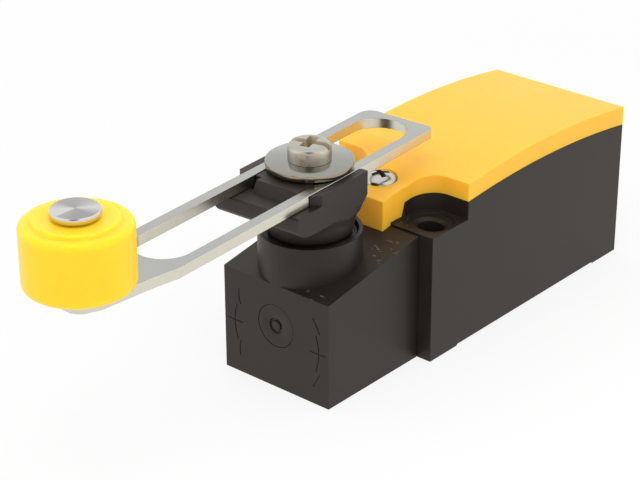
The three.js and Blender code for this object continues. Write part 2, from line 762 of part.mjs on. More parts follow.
function leverHolder() {
  return cut(
    join(holderNeck(), holderPlate(), holderWall(-1), holderWall(1), guideBlock()),
    box(WALL_FRONT, GUIDE_NOTCH, GUIDE_NOTCH_SIDE, LEVER_SLOT_HALF, SHELF - 0.8, SHELF + 1),
    post(SHAFT_RADIUS + 0.08, SKIRT_BOTTOM - 1, 34.7, 0, 0, SMALL),
    post(2.75, 30, 45, 0, 0, SMALL),
  );
}

function leverShape() {
  const shape = new THREE.Shape();
  const farCorner = 2.4;
  const nearCorner = 1.3;
  const start = -LEVER_TAPER_START;
  const tail = -LEVER_TAIL;
  const lean = 0.14;              // slope of the taper where it meets the round end
  shape.moveTo(start, -LEVER_HALF);
  shape.lineTo(tail - nearCorner, -LEVER_HALF);
  shape.absarc(tail - nearCorner, -LEVER_HALF + nearCorner, nearCorner, -Math.PI / 2, 0, false);
  shape.absarc(tail - farCorner, LEVER_HALF - farCorner, farCorner, 0, Math.PI / 2, false);
  shape.lineTo(start, LEVER_HALF);
  shape.quadraticCurveTo(start - 2.8, 6.65, start - 8, 5.94);
  shape.absarc(
    -LEVER_END_CENTRE,
    0,
    LEVER_END_RADIUS,
    Math.PI / 2 + lean,
    (3 * Math.PI) / 2 - lean,
    false,
  );
  shape.lineTo(start - 8, -5.94);
  shape.quadraticCurveTo(start - 2.8, -6.65, start, -LEVER_HALF);
  const slot = new THREE.Path();
  const half = LEVER_SLOT_HALF;
  slot.absarc(-LEVER_SLOT_TAIL_END - half, 0, half, -Math.PI / 2, Math.PI / 2, false);
  slot.absarc(-LEVER_SLOT_ROLLER_END + half, 0, half, Math.PI / 2, (3 * Math.PI) / 2, false);
  shape.holes.push(slot);
  const pinHole = new THREE.Path();
  pinHole.absarc(-ROLLER_REACH, 0, 2.1, 0, 2 * Math.PI, false);
  shape.holes.push(pinHole);
  return shape;
}

// Points of a quarter round from one profile point to another, bulging outwards.
function quarterRound(centreR, centreZ, radius, fromTurn, count = 4) {
  const points = [];
  for (let i = 0; i <= count; i += 1) {
    const angle = ((fromTurn + i / count) * Math.PI) / 2;
    points.push([centreR + radius * Math.cos(angle), centreZ + radius * Math.sin(angle)]);
  }
  return points;
}

function roller() {
  const inner = ROLLER_RADIUS - ROLLER_EDGE;
  const low = ROLLER_BOTTOM + 0.3;
  const high = ROLLER_RIM + ROLLER_HUB;
  return turned([
    [2.15, ROLLER_BOTTOM],
    [6.65, ROLLER_BOTTOM],
    [6.65, low],
    ...quarterRound(inner, low + ROLLER_EDGE, ROLLER_EDGE, -1),
    ...quarterRound(inner, ROLLER_RIM - ROLLER_EDGE, ROLLER_EDGE, 0),
    [7, ROLLER_RIM],
    [6.7, ROLLER_RIM + 0.4],
    [6.3, high],
    [2.15, high],
    [2.15, ROLLER_BOTTOM],
  ], -ROLLER_REACH);
}

function rollerPin() {
  const under = LEVER_BOTTOM - GAP;
  const seat = ROLLER_RIM + ROLLER_HUB + GAP;
  const top = seat + PIN_HEAD;
  return turned([
    [0, under - 1.1],
    [2.6, under - 1.1],
    [3.2, under - 0.6],
    [3.2, under],
    [2.0, under],
    [2.0, seat],
    [3.6, seat],
    [3.95, seat + 0.25],
    [4.08, seat + 0.8],
    [4.02, top - 0.15],
    [3.9, top],
    [0, top],
  ], -ROLLER_REACH, 0, SMALL);
}

const CLAMP_WASHER_RADIUS = 7.9;
const CLAMP_WASHER_TOP = LEVER_TOP + 1.5;

function clampWasher() {
  const bottom = LEVER_TOP + 0.08;
  return turned([
    [2.7, bottom],
    [CLAMP_WASHER_RADIUS - 0.3, bottom],
    [CLAMP_WASHER_RADIUS, bottom + 0.35],
    [CLAMP_WASHER_RADIUS, CLAMP_WASHER_TOP - 0.2],
    [CLAMP_WASHER_RADIUS - 0.2, CLAMP_WASHER_TOP],
    [2.7, CLAMP_WASHER_TOP],
    [2.7, bottom],
  ]);
}

// A cheese head with a rounded top edge and a straight slot crossed by a shorter one.
function clampScrew() {
  const seat = CLAMP_WASHER_TOP + GAP;
  const top = seat + 3.1;
  const radius = 3.9;
  const rounding = 1.1;
  const depth = 1.3;
  const body = turned([
    [0, seat - 17],
    [2, seat - 17],
    [2.4, seat - 16.2],
    [2.4, seat],
    [radius, seat],
    ...quarterRound(radius - rounding, top - rounding, rounding, 0),
    [0, top],
  ]);
  return cut(
    body,
    box(-0.6, 0.6, -radius - 1, radius + 1, top - depth, top + 1),
    box(-2.3, 2.3, -0.6, 0.6, top - depth, top + 1),
  );
}

place('lever_holder', leverHolder(), BLACK(), leverGroup);
place('lever_arm', alongZ(leverShape(), LEVER_BOTTOM, LEVER_TOP, 10), STEEL(), leverGroup);
place('clamp_washer', clampWasher(), NICKEL(), leverGroup);
place('clamp_screw', clampScrew(), NICKEL(), leverGroup);
place('roller', roller(), ROLLER_YELLOW(), leverGroup);
place('roller_pin', rollerPin(), STEEL(), leverGroup);
place(
  'roller_washer',
  ring(3.4, 2.1, LEVER_TOP + 0.06, ROLLER_BOTTOM - 0.1, -ROLLER_REACH, 0, SMALL),
  NICKEL(),
  leverGroup,
);

export default switchGroup;
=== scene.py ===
# Limit switch with an adjustable roller lever: looks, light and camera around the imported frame.
# Lengths are millimetres, as in the part's own drawing. Finished meshes, textures and lights are in metres.

import json
import math

import bmesh
import bpy
from mathutils import Matrix, Vector


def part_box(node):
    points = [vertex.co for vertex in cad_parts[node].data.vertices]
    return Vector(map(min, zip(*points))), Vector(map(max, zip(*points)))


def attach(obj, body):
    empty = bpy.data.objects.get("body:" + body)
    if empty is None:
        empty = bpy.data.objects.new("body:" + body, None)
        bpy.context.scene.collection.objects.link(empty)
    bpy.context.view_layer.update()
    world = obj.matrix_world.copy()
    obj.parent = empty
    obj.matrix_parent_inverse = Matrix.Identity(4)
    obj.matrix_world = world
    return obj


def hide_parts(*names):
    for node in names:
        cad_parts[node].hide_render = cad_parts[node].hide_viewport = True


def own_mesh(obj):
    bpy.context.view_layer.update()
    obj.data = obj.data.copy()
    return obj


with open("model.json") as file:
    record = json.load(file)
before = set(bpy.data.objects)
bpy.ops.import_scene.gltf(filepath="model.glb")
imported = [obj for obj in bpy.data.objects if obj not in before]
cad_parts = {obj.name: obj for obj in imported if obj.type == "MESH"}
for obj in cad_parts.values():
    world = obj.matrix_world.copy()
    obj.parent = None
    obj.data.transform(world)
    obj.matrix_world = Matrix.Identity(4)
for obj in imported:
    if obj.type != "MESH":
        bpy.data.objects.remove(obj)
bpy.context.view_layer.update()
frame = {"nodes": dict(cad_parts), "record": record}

MM = 0.001
TAU = 2 * math.pi


# ---------------------------------------------------------------- places taken from the frame

def node_box(name):
    low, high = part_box(name)
    return low / MM, high / MM


HOUSING_LOW, HOUSING_HIGH = node_box("housing")
COVER_START = node_box("cover")[0].x
HEAD_LOW_BOX, HEAD_HIGH_BOX = node_box("head")
PLUG_RADIUS = node_box("head_plug")[1].y
WASHER_LOW, WASHER_HIGH = node_box("clamp_washer")
ARM_LOW, ARM_HIGH = node_box("lever_arm")
HOLDER_LOW, HOLDER_HIGH = node_box("lever_holder")
ROLLER_LOW, ROLLER_HIGH = node_box("roller")
PIN_LOW, PIN_HIGH = node_box("roller_pin")
CLAMP_SCREW_LOW, CLAMP_SCREW_HIGH = node_box("clamp_screw")
COVER_SCREW_LOW, COVER_SCREW_HIGH = node_box("cover_screw")
SEAL_LOW, SEAL_HIGH = node_box("shaft_seal")

BODY_START, BODY_END = HOUSING_LOW.x, HOUSING_HIGH.x
BODY_HALF = HOUSING_HIGH.y
SHAFT = (WASHER_LOW + WASHER_HIGH) / 2
ROLLER = (ROLLER_LOW + ROLLER_HIGH) / 2
REACH = Vector((ROLLER.x - SHAFT.x, ROLLER.y - SHAFT.y))
LEVER_ANGLE = math.atan2(-REACH.y, -REACH.x)   # the lever's group is turned by this about the shaft

# ---------------------------------------------------------------- sizes of details

JOINT_ARC = (25.9, 29.97, 202)   # the cover joint seen from the side: apex X, its height, radius
TOP_ARC = (27, 33.82, 182)       # the cover's top
TOP_DIP = (0.45, 2.6)            # depth and spread of the dip beside the cover screw
BACK_PADS = (2.8, 47.8)          # the back is relieved between these
BACK_RELIEF = 0.3
SLOT_Y = 11                      # the two mounting slots
SLOT_WIDTH = 4.3
SLOT_LENGTH = 5.3
SLOT_RIM = 0.75                  # the slot's mouth is wider by this
NOTCH_FLOOR = 25.3
NOTCH_RADIUS = 5.2
NOTCH_DISH = (4.3, 0.35)         # radius and depth of the dish round each slot
TONGUE_HALF = SLOT_Y - NOTCH_RADIUS
TONGUE_SEAT = 25.55
TONGUE_STEP = (-2, -1.2)   # the housing rises here from the seat to the joint
HEAD_EDGE_LOW = 20.7
HEAD_EDGE_HIGH = 24.9
BOSS_RADIUS = SHAFT.x - HEAD_LOW_BOX.x
HEAD_GAP = 0.15                  # between head and housing
BOSS_BORE = 8.75
BOSS_FLOOR = 26.4
BUSH_BORE = 6.4
CAM_CHAMBER = (8, 4.5, 21)       # radius, floor and top
PIVOT_BORE = 3.1
FLANGE_BORE = 5.5
SPRING_SEAT = -6.6
SPIGOT_RADIUS = 7.2              # the head's neck, in a pocket of the housing
SPIGOT_END = -1.5
POCKET_RADIUS = 7.45
POCKET_END = -1.2
PLUNGER_BORES = (3.1, 3.6)       # through the head and through the housing's wall
AXIS_Z = 12.5                    # height of the plunger
ENTRY_Z = 14.3
ENTRY_RADIUS = 9.25
ENTRY_CHAMFER = 0.9
THREAD_PITCH = 1.5
THREAD_DEPTH = 0.75
CHAMBER = (7.6, 46.6)            # the wiring chamber, along X
WALL = 2.3
COVER_SEAM = 0.06
COVER_SCREW_POCKET = (29.8, 0.15)   # floor of the screw's pocket, and its gap round the head
CLEAR = 40                       # a height above the body, where cuts run out

# The lever pieces are drawn about the shaft axis with the roller towards -X, then turned.
ROLLER_U = -REACH.length
ARM_HALF = 7.5
ARM_TAPER_START = -43.5
ARM_END = (-57.1, 5.1)    # centre and radius of the round end
ARM_TAIL = 27.3
ARM_SLOT = (-43.7, 25.6)
ARM_SLOT_HALF = 5.4
HOLDER_HALF = 9.1
HOLDER_TAIL = 4.8
HOLDER_NOSE = -15
NOSE_BOTTOM = 34
PLATE_BOTTOM = 36
WALL_FRONT = (-9.9, -8.2)   # roller end of the side walls, inside and outside
WALL_INSIDE = 7.65
SHELF = ARM_LOW.z - 0.1     # the lever lies just above it
GUIDE_HALF = 5.2
GUIDE_FRONT = -11.1
GUIDE_SLOPE = 1.2
GUIDE_NOTCH = (-8.5, 3.9)   # a corner is missing at the far side of the roller end
GUIDE_TAIL = 3.5
GUIDE_CORNER = 1.4
SHAFT_BORE = 4.08
CLAMP_BORE = 2.75
RECESS_TURN = math.radians(14)
COVER_RECESS_TURN = math.radians(-28)

# The light tent opens towards the camera.
CAMERA_AT = Vector((-268.75, -217.11, 189.04))
CAMERA_ANGLES = (49.09, 26.32, -0.19)   # azimuth, elevation and roll, in degrees
CAMERA_LENS = 116.06
FLOOR_HALF = 3000


# ---------------------------------------------------------------- mesh helpers

def new_object(name, mesh):
    piece = bpy.data.objects.new(name, mesh)
    bpy.context.scene.collection.objects.link(piece)
    return piece


def mesh_from(name, points, faces):
    mesh = bpy.data.meshes.new(name)
    mesh.from_pydata([Vector(p) * MM for p in points], [], faces)
    edit = bmesh.new()
    edit.from_mesh(mesh)
    bmesh.ops.recalc_face_normals(edit, faces=edit.faces)
    edit.to_mesh(mesh)
    edit.free()
    return mesh


def prism(outline, low, high, axis="Z"):
    """A closed outline run along an axis. The outline is (X, Y), (X, Z) or (Y, Z)."""
    def at(pair, along):
        a, b = pair
        return {"Z": (a, b, along), "Y": (a, along, b), "X": (along, a, b)}[axis]

    count = len(outline)
    points = [at(p, low) for p in outline] + [at(p, high) for p in outline]
    faces = [tuple(range(count))[::-1], tuple(range(count, 2 * count))]
    for i in range(count):
        j = (i + 1) % count
        faces.append((i, j, count + j, count + i))
    return new_object("tool", mesh_from("tool", points, faces))


def tapered(low_outline, high_outline, low, high):
    """A solid along Z between two outlines of the same number of points."""
    count = len(low_outline)
    points = [(x, y, low) for x, y in low_outline] + [(x, y, high) for x, y in high_outline]
    faces = [tuple(range(count))[::-1], tuple(range(count, 2 * count))]
    faces += [(i, (i + 1) % count, count + (i + 1) % count, count + i) for i in range(count)]
    return new_object("tool", mesh_from("tool", points, faces))


def block(x0, x1, y0, y1, z0, z1):
    return prism([(x0, y0), (x1, y0), (x1, y1), (x0, y1)], z0, z1)


def arc(cx, cy, radius, start, end, count):
    """Points on an arc, both ends included, angles in degrees."""
    points = []
    for i in range(count + 1):
        angle = math.radians(start + (end - start) * i / count)
        points.append((cx + radius * math.cos(angle), cy + radius * math.sin(angle)))
    return points


def circle(cx, cy, radius, count=64):
    return arc(cx, cy, radius, 0, 360 * (count - 1) / count, count - 1)


def turned(profile, centre=(0, 0), sides=96, axis="Z", name="tool"):
    """A body of revolution from (radius, height) pairs. An end at radius 0 closes on the axis."""
    points, rows = [], []
    for radius, height in profile:
        if radius < 1e-6:
            rows.append([len(points)])
            points.append((0, 0, height))
        else:
            rows.append(list(range(len(points), len(points) + sides)))
            for i in range(sides):
                angle = TAU * i / sides
                points.append((radius * math.cos(angle), radius * math.sin(angle), height))
    faces = []
    closed = profile[0][0] > 1e-6
    pairs = list(zip(rows, rows[1:] + rows[:1])) if closed else list(zip(rows, rows[1:]))
    for low, high in pairs:
        for i in range(sides):
            j = (i + 1) % sides
            if len(low) == 1 and len(high) == 1:
                continue
            if len(low) == 1:
                faces.append((low[0], high[i], high[j]))
            elif len(high) == 1:
                faces.append((low[i], low[j], high[0]))
            else:
                faces.append((low[i], low[j], high[j], high[i]))
    if axis == "X":
        points = [(z, x, y) for x, y, z in points]
        points = [(x, y + centre[0], z + centre[1]) for x, y, z in points]
    else:
        points = [(x + centre[0], y + centre[1], z) for x, y, z in points]
    return new_object(name, mesh_from(name, points, faces))


def post(radius, low, high, centre=(0, 0), sides=64, axis="Z"):
    a, b = centre
    return prism(circle(a, b, radius, sides), low, high, axis)


def combine(target, tools, operation):
    for tool in tools:
        step = target.modifiers.new("step", "BOOLEAN")
        step.operation = operation
        step.solver = "EXACT"
        step.object = tool
    graph = bpy.context.evaluated_depsgraph_get()
    mesh = bpy.data.meshes.new_from_object(target.evaluated_get(graph))
    target.modifiers.clear()
    old = target.data
    target.data = mesh
    bpy.data.meshes.remove(old)
    for tool in tools:
        tool_mesh = tool.data
        bpy.data.objects.remove(tool)
        bpy.data.meshes.remove(tool_mesh)
    return target


def joined(target, *tools):
    return combine(target, tools, "UNION")


def cut(target, *tools):
    return combine(target, tools, "DIFFERENCE")


def kept(target, *tools):
    return combine(target, tools, "INTERSECT")


def cleaned(piece, merge=0.002):
    """Merges stray points and flat neighbours, so that a bevel finds clean edges."""
    edit = bmesh.new()
    edit.from_mesh(piece.data)
    bmesh.ops.remove_doubles(edit, verts=edit.verts, dist=merge * MM)
    bmesh.ops.dissolve_limit(
        edit, angle_limit=math.radians(0.5), verts=edit.verts, edges=edit.edges
    )
    bmesh.ops.recalc_face_normals(edit, faces=edit.faces)
    edit.to_mesh(piece.data)
    edit.free()
    return piece


def smooth(piece, angle=35):
    for face in piece.data.polygons:
        face.use_smooth = True
    piece.data.set_sharp_from_angle(angle=math.radians(angle))
    return piece


def bevelled(piece, width, segments=3, angle=30):
    step = piece.modifiers.new("edges", "BEVEL")
    step.width = width * MM
    step.segments = segments
    step.limit_method = "ANGLE"
    step.angle_limit = math.radians(angle)
    step.harden_normals = True
    step.use_clamp_overlap = True
    step.miter_outer = "MITER_ARC"
    for face in piece.data.polygons:
        face.use_smooth = True
    return piece


def finished(piece, name, material, body, slot, *nodes):
    """Names a piece, gives it its material and says what it rides on and stands for.

    A material that is on the piece already is the painted light of its recess, painted shade or a painted
    reflection, and stays second.
    """
    piece.name = name
    piece.data.name = name
    if piece.data.materials:
        recess = piece.data.materials[0]
        piece.data.materials[0] = material
        piece.data.materials.append(recess)
    else:
        piece.data.materials.append(material)
    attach(piece, body)
    if nodes:
        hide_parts(*nodes)
    return piece


def turned_with_lever(piece):
    """Moves a piece made about the shaft axis, roller towards -X, to where the lever stands."""
    place = Matrix.Translation((SHAFT.x * MM, SHAFT.y * MM, 0)) @ Matrix.Rotation(LEVER_ANGLE, 4, "Z")
    piece.data.transform(place)
    return piece


# ---------------------------------------------------------------- materials

class Material:
    """A small builder for node materials in object coordinates, in metres."""

    def __init__(self, name, color, roughness, metallic=0.0):
        self.material = bpy.data.materials.new(name)
        self.material.use_nodes = True
        self.nodes = self.material.node_tree.nodes
        self.links = self.material.node_tree.links
        self.shader = self.nodes["Principled BSDF"]
        self.shader.inputs["Base Color"].default_value = (*color, 1)
        self.shader.inputs["Roughness"].default_value = roughness
        self.shader.inputs["Metallic"].default_value = metallic
        self.coords = self.nodes.new("ShaderNodeTexCoord").outputs["Object"]

    def set(self, name, value):
        self.shader.inputs[name].default_value = value
        return self

    def noise(self, scale, detail=4.0, roughness=0.55, stretch=(1, 1, 1)):
        mapping = self.nodes.new("ShaderNodeMapping")
        mapping.inputs["Scale"].default_value = stretch
        self.links.new(self.coords, mapping.inputs["Vector"])
        noise = self.nodes.new("ShaderNodeTexNoise")
        noise.inputs["Scale"].default_value = scale
        noise.inputs["Detail"].default_value = detail
        noise.inputs["Roughness"].default_value = roughness
        self.links.new(mapping.outputs["Vector"], noise.inputs["Vector"])
        return noise.outputs["Fac"]

    def ramp(self, source, *stops):
        node = self.nodes.new("ShaderNodeValToRGB")
        elements = node.color_ramp.elements
        while len(elements) < len(stops):
            elements.new(0.5)
        for element, (position, value) in zip(elements, stops):
            element.position = position
            color = value if isinstance(value, tuple) else (value,) * 3
            element.color = (*color, 1)
        self.links.new(source, node.inputs["Fac"])
        return node.outputs["Color"]

    def drive(self, socket, source):
        self.links.new(source, self.shader.inputs[socket])
        return self

    def bump(self, *layers):
        """Each layer is (height, distance in metres, strength)."""
        normal = None
        for height, distance, strength in layers:
            node = self.nodes.new("ShaderNodeBump")
            node.inputs["Distance"].default_value = distance
            node.inputs["Strength"].default_value = strength
            self.links.new(height, node.inputs["Height"])
            if normal is not None:
                self.links.new(normal, node.inputs["Normal"])
            normal = node.outputs["Normal"]
        self.links.new(normal, self.shader.inputs["Normal"])
        return self

    def product(self, first, second):
        node = self.nodes.new("ShaderNodeMath")
        node.operation = "MULTIPLY"
        self.links.new(first, node.inputs[0])
        self.links.new(second, node.inputs[1])
        return node.outputs["Value"]

    def tinted(self, first, second):
        """The product of two colours."""
        node = self.nodes.new("ShaderNodeMix")
        node.data_type = "RGBA"
        node.blend_type = "MULTIPLY"
        node.inputs["Factor"].default_value = 1
        for socket, value in ((node.inputs["A"], first), (node.inputs["B"], second)):
            self.links.new(value, socket)
        return node.outputs["Result"]

    def distance(self, centre, radius):
        """0 at a place in millimetres and 1 at the radius from it."""
        node = self.nodes.new("ShaderNodeVectorMath")
        node.operation = "DISTANCE"
        self.links.new(self.coords, node.inputs[0])
        node.inputs[1].default_value = Vector(centre) * MM
        scale = self.nodes.new("ShaderNodeMath")
        scale.operation = "DIVIDE"
        self.links.new(node.outputs["Value"], scale.inputs[0])
        scale.inputs[1].default_value = radius * MM
        return scale.outputs["Value"]

    def mix(self, factor, first, second):
        node = self.nodes.new("ShaderNodeMix")
        node.data_type = "RGBA"
        self.links.new(factor, node.inputs["Factor"])
        for socket, value in ((node.inputs["A"], first), (node.inputs["B"], second)):
            if isinstance(value, tuple):
                socket.default_value = (*value, 1)
            else:
                self.links.new(value, socket)
        return node.outputs["Result"]


def upward(made, sideways, flat):
    """1 where a face looks up or down, 0 where it looks sideways, blended between two slopes."""
    geometry = made.nodes.new("ShaderNodeNewGeometry")
    split = made.nodes.new("ShaderNodeSeparateXYZ")
    made.links.new(geometry.outputs["Normal"], split.inputs["Vector"])
    size = made.nodes.new("ShaderNodeMath")
    size.operation = "ABSOLUTE"
    made.links.new(split.outputs["Z"], size.inputs[0])
    return made.ramp(size.outputs["Value"], (sideways, 0.0), (flat, 1.0))


def black_plastic(name, low, high, dust_spots=()):
    """Fine moulded texture. Dust lies on upward faces near the given (centre, radius) spots."""
    made = Material(name, high, 0.5)
    made.set("Specular IOR Level", 0.34)
    made.set("Specular Tint", (1.0, 0.9, 0.82, 1.0))
    grain = made.noise(9000, 2.0)
    cloud = made.noise(120, 3.0)
    tone = made.ramp(cloud, (0.3, low), (0.7, high))
    if dust_spots:
        strokes = made.ramp(made.noise(1500, 2.0, 0.4, (1, 0.45, 1)), (0.66, 0.0), (0.74, 0.55))
        level = upward(made, 0.9, 0.99)
        for centre, radius in dust_spots:
            near = made.ramp(made.distance(centre, radius), (0.6, 1.0), (1.0, 0.0))
            amount = made.product(made.product(strokes, level), near)
            tone = made.mix(amount, tone, (0.3, 0.28, 0.26))
    made.drive("Base Color", tone)
    made.drive("Roughness", made.ramp(cloud, (0.2, 0.42), (0.8, 0.5)))
    made.bump((grain, 0.00003, 0.25))
    return made.material


def yellow_plastic(name, deep, light, roughness, translucency_and_painted_glow=0.0):
    """Smooth moulded plastic. The last number is how much light passes through its thin edges, and it also
    turns on a faint painted glow by emission.
    """
    made = Material(name, light, roughness)
    made.set("Specular IOR Level", 0.28)
    if translucency_and_painted_glow:
        made.set("Subsurface Weight", translucency_and_painted_glow)
        made.set("Subsurface Radius", (1.0, 0.45, 0.08))
        made.set("Subsurface Scale", 0.004)
        # Painted glow: a faint orange emission, though the plastic is no lamp.
        made.set("Emission Color", (1.0, 0.42, 0.05, 1.0)).set("Emission Strength", 0.07)
    cloud = made.noise(90, 3.0)
    made.drive("Base Color", made.ramp(cloud, (0.25, deep), (0.75, light)))
    fine = made.noise(600, 3.0)
    made.drive("Roughness", made.ramp(fine, (0.3, roughness - 0.04), (0.7, roughness + 0.05)))
    made.bump((made.noise(7000, 2.0), 0.00002, 0.2))
    return made.material


def plain_metal(name, color, roughness, scratch=0.1, side=None, side_roughness=None, painted_reflection_bands=0.0):
    """Metal with faint stains and streaks. The side colour and finish are for faces on edge; the side colour
    is a painted reflection.

    Painted reflection bands darken the side where it looks straight at the opening of the light
    tent and far away from it, as on a round head that stands in the tent.
    """
    made = Material(name, color, roughness, 1.0)
    streaks = made.noise(1400, 2.0, 0.5)
    stain = made.noise(140, 4.0)
    darker = tuple(c * 0.95 for c in color)
    tone = made.ramp(stain, (0.3, darker), (0.65, color))
    finish = made.ramp(streaks, (0.3, roughness * 0.85), (0.7, roughness * 1.15))
    if side:
        turn = upward(made, 0.3, 0.75)
        edge = made.ramp(stain, (0.3, tuple(c * 0.95 for c in side)), (0.7, side))
        # Painted reflection: the side darkens in bands where it faces the tent's opening and where it faces
        # away.
        if painted_reflection_bands:
            dark = tuple(c * (1 - painted_reflection_bands) for c in side)
            mild = tuple(c * (1 - painted_reflection_bands * 0.6) for c in side)
            facing = facing_opening(made)
            edge = made.ramp(
                facing, (0.3, dark), (0.62, side), (0.78, side), (0.93, mild), (1.0, mild),
            )
        # Faces on edge take the side colour, a painted reflection lighter and warmer than the top.
        tone = made.mix(turn, edge, tone)
        rough = made.ramp(streaks, (0.3, side_roughness * 0.9), (0.7, side_roughness * 1.1))
        finish = made.mix(turn, rough, finish)
    made.drive("Base Color", tone)
    made.drive("Roughness", finish)
    made.bump((streaks, 0.000002, scratch))
    return made.material


def facing_opening(made):
    """1 where a face looks level towards the opening of the light tent, 0 where it looks away."""
    geometry = made.nodes.new("ShaderNodeNewGeometry")
    towards = made.nodes.new("ShaderNodeVectorMath")
    towards.operation = "DOT_PRODUCT"
    made.links.new(geometry.outputs["Normal"], towards.inputs[0])
    towards.inputs[1].default_value = Vector((CAMERA_AT.x, CAMERA_AT.y, 0)).normalized()
    return towards.outputs["Value"]


def lathe_turned(name, color, roughness, centre):
    """Metal faced on a lathe about a vertical axis: fine rings that fan the reflections out, drawn as a
    painted reflection of bright and dull sectors on the top, with lighter sides as a painted highlight.
    """
    made = Material(name, color, roughness, 1.0)
    mapping = made.nodes.new("ShaderNodeMapping")
    mapping.inputs["Location"].default_value = (-centre.x * MM, -centre.y * MM, 0)
    made.links.new(made.coords, mapping.inputs["Vector"])
    rings = made.nodes.new("ShaderNodeTexWave")
    rings.wave_type = "RINGS"
    rings.rings_direction = "Z"
    rings.inputs["Scale"].default_value = 900
    rings.inputs["Distortion"].default_value = 1.5
    rings.inputs["Detail"].default_value = 2
    made.links.new(mapping.outputs["Vector"], rings.inputs["Vector"])
    sectors = made.nodes.new("ShaderNodeTexGradient")
    sectors.gradient_type = "RADIAL"
    made.links.new(mapping.outputs["Vector"], sectors.inputs["Vector"])
    turn = upward(made, 0.8, 0.97)
    bright = tuple(min(1, c * 1.45) for c in color)
    dull = tuple(c * 0.8 for c in color)
    # Painted reflection: a bow tie of bright and dull sectors round the axis.
    fan = made.ramp(
        sectors.outputs["Fac"],
        (0.0, color), (0.12, dull), (0.25, dull), (0.38, bright),
        (0.5, color), (0.62, dull), (0.75, dull), (0.88, bright),
    )
    ring_tone = made.ramp(rings.outputs["Fac"], (0.1, 0.9), (0.9, 1.0))
    rings_and_painted_fan = made.tinted(fan, ring_tone)
    # Sides take the bright colour: a painted highlight.
    made.drive("Base Color", made.mix(turn, bright, rings_and_painted_fan))
    made.drive("Roughness", made.ramp(turn, (0.0, 0.08), (1.0, roughness)))
    made.bump((rings.outputs["Fac"], 0.000002, 0.25))
    return made.material


def rubber(name="rubber"):
    made = Material(name, (0.006, 0.006, 0.006), 0.4)
    made.set("Specular IOR Level", 0.25)
    made.drive("Roughness", made.ramp(made.noise(500, 3.0), (0.3, 0.34), (0.7, 0.46)))
    made.bump((made.noise(3000, 2.0), 0.00001, 0.3))
    return made.material


DEEP_BLACK = (0.0145, 0.011, 0.0088)
WORN_BLACK = (0.019, 0.0145, 0.0118)
BLACK = black_plastic("black_plastic", DEEP_BLACK, WORN_BLACK)
HOUSING_BLACK = black_plastic(
    "housing_black", DEEP_BLACK, WORN_BLACK,
    [((-2.5, -SLOT_Y, NOTCH_FLOOR), 5.5)],
)
HEAD_BLACK = black_plastic(
    "head_black", DEEP_BLACK, WORN_BLACK,
    [((-12.5, -10, HEAD_EDGE_HIGH - 1), 5.5), ((-29, -6, HEAD_EDGE_LOW), 5)],
)
# The last number of each yellow is its translucency, and turns on its painted glow.
YELLOW = yellow_plastic("cover_yellow", (0.95, 0.465, 0.03), (0.98, 0.49, 0.036), 0.42, 0.5)
ROLLER_YELLOW = yellow_plastic("roller_yellow", (0.98, 0.6, 0.014), (0.99, 0.63, 0.018), 0.34, 0.8)
# The second colour of each metal is a painted reflection on its faces on edge.
ARM_STEEL = plain_metal("plated_steel", (0.405, 0.41, 0.385), 0.2, 0.04, (0.69, 0.66, 0.55), 0.3)
WASHER_METAL = plain_metal("washer_nickel", (0.3, 0.3, 0.275), 0.12, 0.05, (0.36, 0.31, 0.23), 0.18)
# Nickel and chrome also carry painted reflection bands on their sides; the last number is their depth.
NICKEL = plain_metal("nickel", (0.44, 0.43, 0.385), 0.24, 0.02, (0.6, 0.55, 0.45), 0.3, 0.45)
# Recess looks are painted light: a painted reflection in the nickel recess, painted shade in the chrome
# recess.
NICKEL_RECESS_PAINTED_REFLECTION = plain_metal("nickel_recess_painted_reflection", (0.62, 0.54, 0.42), 0.42)
CHROME_RECESS_PAINTED_SHADE = plain_metal("chrome_recess_painted_shade", (0.3, 0.27, 0.22), 0.42)
CHROME = plain_metal("bright_chrome", (0.52, 0.51, 0.48), 0.2, 0.1, (0.62, 0.6, 0.55), 0.24, 0.5)
STEEL = plain_metal("steel", (0.5, 0.49, 0.48), 0.28)
PIN_STEEL = lathe_turned("turned_steel", (0.44, 0.43, 0.425), 0.28, ROLLER)
BRASS = plain_metal("brass", (0.72, 0.5, 0.2), 0.25)
SILVER = plain_metal("silver", (0.85, 0.85, 0.83), 0.2)
RUBBER = rubber()
INNER_PLASTIC = yellow_plastic("inner_plastic", (0.6, 0.56, 0.47), (0.66, 0.62, 0.53), 0.5)

NODE_LOOKS = {
    "housing_black": BLACK,
    "cover_yellow": YELLOW,
    "roller_yellow": ROLLER_YELLOW,
    "plated_steel": ARM_STEEL,
    "nickel": NICKEL,
    "steel": STEEL,
    "brass": BRASS,
    "silver": SILVER,
    "rubber": RUBBER,
    "inner_plastic": INNER_PLASTIC,
    "carrier_plastic": BLACK,
}


def dress_cad_nodes():
    """Gives every CAD node the finish of its slot."""
    for row in frame["record"]["subparts"]:
        node = frame["nodes"][row["node"]]
        node.data.materials.clear()
        node.data.materials.append(NODE_LOOKS[row["material_slot"]])


# ---------------------------------------------------------------- housing and cover

def arch(x, apex, crown, radius):
    return crown - radius + math.sqrt(radius ** 2 - (x - apex) ** 2)


def joint_z(x):
    return arch(x, *JOINT_ARC)


def top_z(x):
    return arch(x, *TOP_ARC) - TOP_DIP[0] * math.exp(-(x / TOP_DIP[1]) ** 2)


def arched(height, start, end, lift=0.0, count=40):
    step = (end - start) / count
    return [(start + step * i, height(start + step * i) + lift) for i in range(count + 1)]


def notch_outline(side):
    outside = side * (BODY_HALF + 2)
    corner = arc(0, side * SLOT_Y, NOTCH_RADIUS, 0, -90 * side, 16)
    return [
        (BODY_START - 6, outside),
        (NOTCH_RADIUS, outside),
        *corner,
        (BODY_START - 6, side * (SLOT_Y - NOTCH_RADIUS)),
    ]


